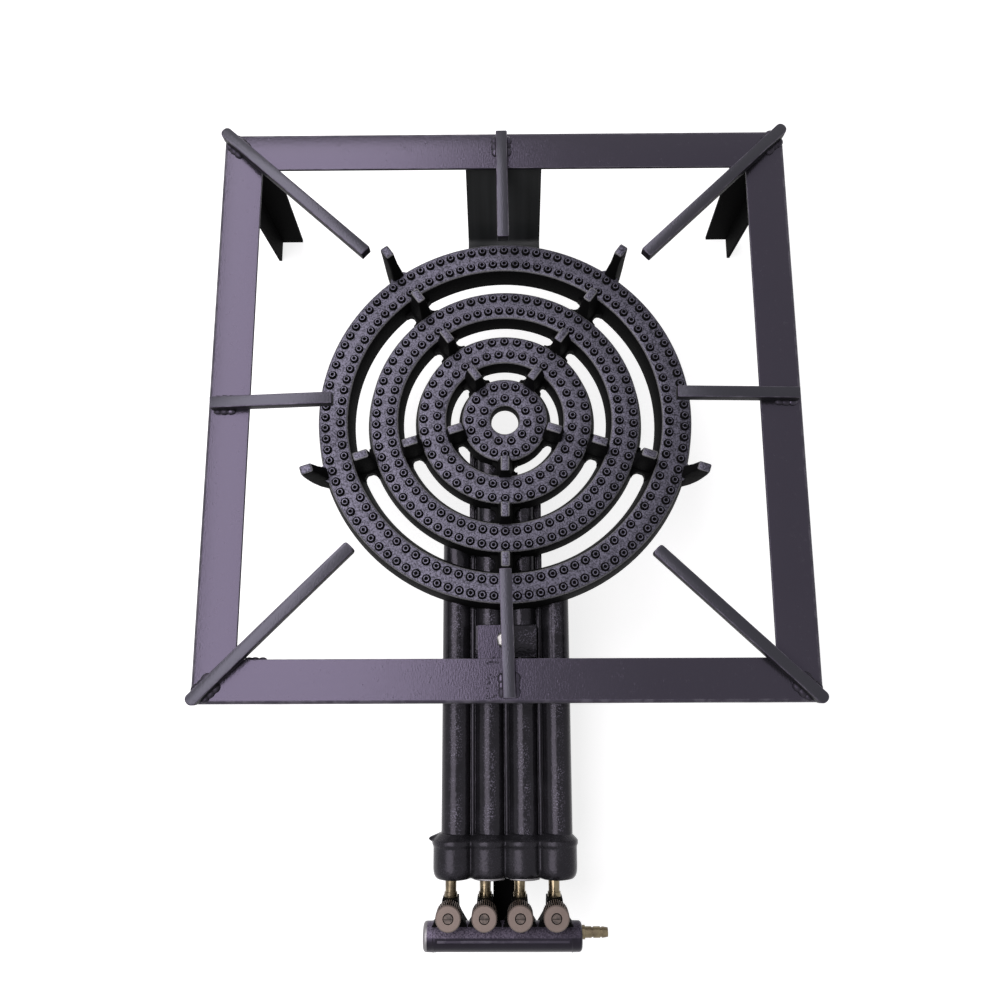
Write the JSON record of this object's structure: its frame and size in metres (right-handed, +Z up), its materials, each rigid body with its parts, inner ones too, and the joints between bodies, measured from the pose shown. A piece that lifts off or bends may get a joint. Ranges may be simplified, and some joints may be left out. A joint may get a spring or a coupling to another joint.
{
  "type": "multi-ring gas stove",
  "caption": "Market gas stove: a dished cast-iron burner of concentric jet rings hung in a square angle-iron stand, each ring fed by its own mixing tube and tap.",
  "frame": {"origin": "middle of the stove's whole footprint, on the floor", "axes": "+X to the right along the manifold towards the hose barb, +Y from the valves to the back, +Z up"},
  "size_m": [0.5012, 0.7036, 0.2],
  "materials": {
    "frame_paint": "satin",
    "black_paint": "satin",
    "cast_iron": "granular",
    "brass": "turned",
    "steel": "plain",
    "knob": "satin plated",
    "packing": "matte"
  },
  "bodies": {
    "stove": {"rail_front": "frame_paint", "rail_right": "frame_paint", "rail_back": "frame_paint", "rail_left": "frame_paint", "leg_front_left": "black_paint", "leg_front_right": "black_paint", "leg_back_left": "black_paint", "leg_back_right": "black_paint", "pot_bar_front": "frame_paint", "pot_bar_right": "frame_paint", "pot_bar_back": "frame_paint", "pot_bar_left": "frame_paint", "pot_bar_front_left": "frame_paint", "pot_bar_front_right": "frame_paint", "pot_bar_back_left": "frame_paint", "pot_bar_back_right": "frame_paint", "ring_outer": "cast_iron", "ring_second": "cast_iron", "ring_third": "cast_iron", "ring_centre": "cast_iron", "mixing_tube_1": "cast_iron", "mixing_tube_2": "cast_iron", "mixing_tube_3": "cast_iron", "mixing_tube_4": "cast_iron", "mixing_tube_1_rear": "cast_iron", "mixing_tube_2_rear": "cast_iron", "mixing_tube_3_rear": "cast_iron", "casting_pads": "cast_iron", "rear_hanger": "black_paint", "front_bracket": "frame_paint", "burner_bolts": "steel", "burner_washers": "steel", "manifold_pipe": "black_paint", "manifold_cap_left": "black_paint", "manifold_cap_right": "black_paint", "hose_barb": "brass", "manifold_bracket": "black_paint", "bracket_bolts": "steel", "gland_nuts": "brass", "gland_packings": "packing", "valve_body_1": "black_paint", "injector_1": "brass", "valve_body_2": "black_paint", "injector_2": "brass", "valve_body_3": "black_paint", "injector_3": "brass", "valve_body_4": "black_paint", "injector_4": "brass"},
    "tap_1": {"spindle_1": "steel", "knob_1": "knob", "knob_screw_1": "steel"},
    "tap_2": {"spindle_2": "steel", "knob_2": "knob", "knob_screw_2": "steel"},
    "tap_3": {"spindle_3": "steel", "knob_3": "knob", "knob_screw_3": "steel"},
    "tap_4": {"spindle_4": "steel", "knob_4": "knob", "knob_screw_4": "steel"}
  },
  "joints": [
    {"name": "tap_1_turn", "type": "hinge", "parent": "stove", "child": "tap_1", "pos_m": [-0.0475, -0.31781, 0.136], "axis": [0, 0, 1], "range_deg": [0, 90]},
    {"name": "tap_2_turn", "type": "hinge", "parent": "stove", "child": "tap_2", "pos_m": [-0.0185, -0.31781, 0.136], "axis": [0, 0, 1], "range_deg": [0, 90]},
    {"name": "tap_3_turn", "type": "hinge", "parent": "stove", "child": "tap_3", "pos_m": [0.0105, -0.31781, 0.136], "axis": [0, 0, 1], "range_deg": [0, 90]},
    {"name": "tap_4_turn", "type": "hinge", "parent": "stove", "child": "tap_4", "pos_m": [0.0395, -0.31781, 0.136], "axis": [0, 0, 1], "range_deg": [0, 90]}
  ]
}
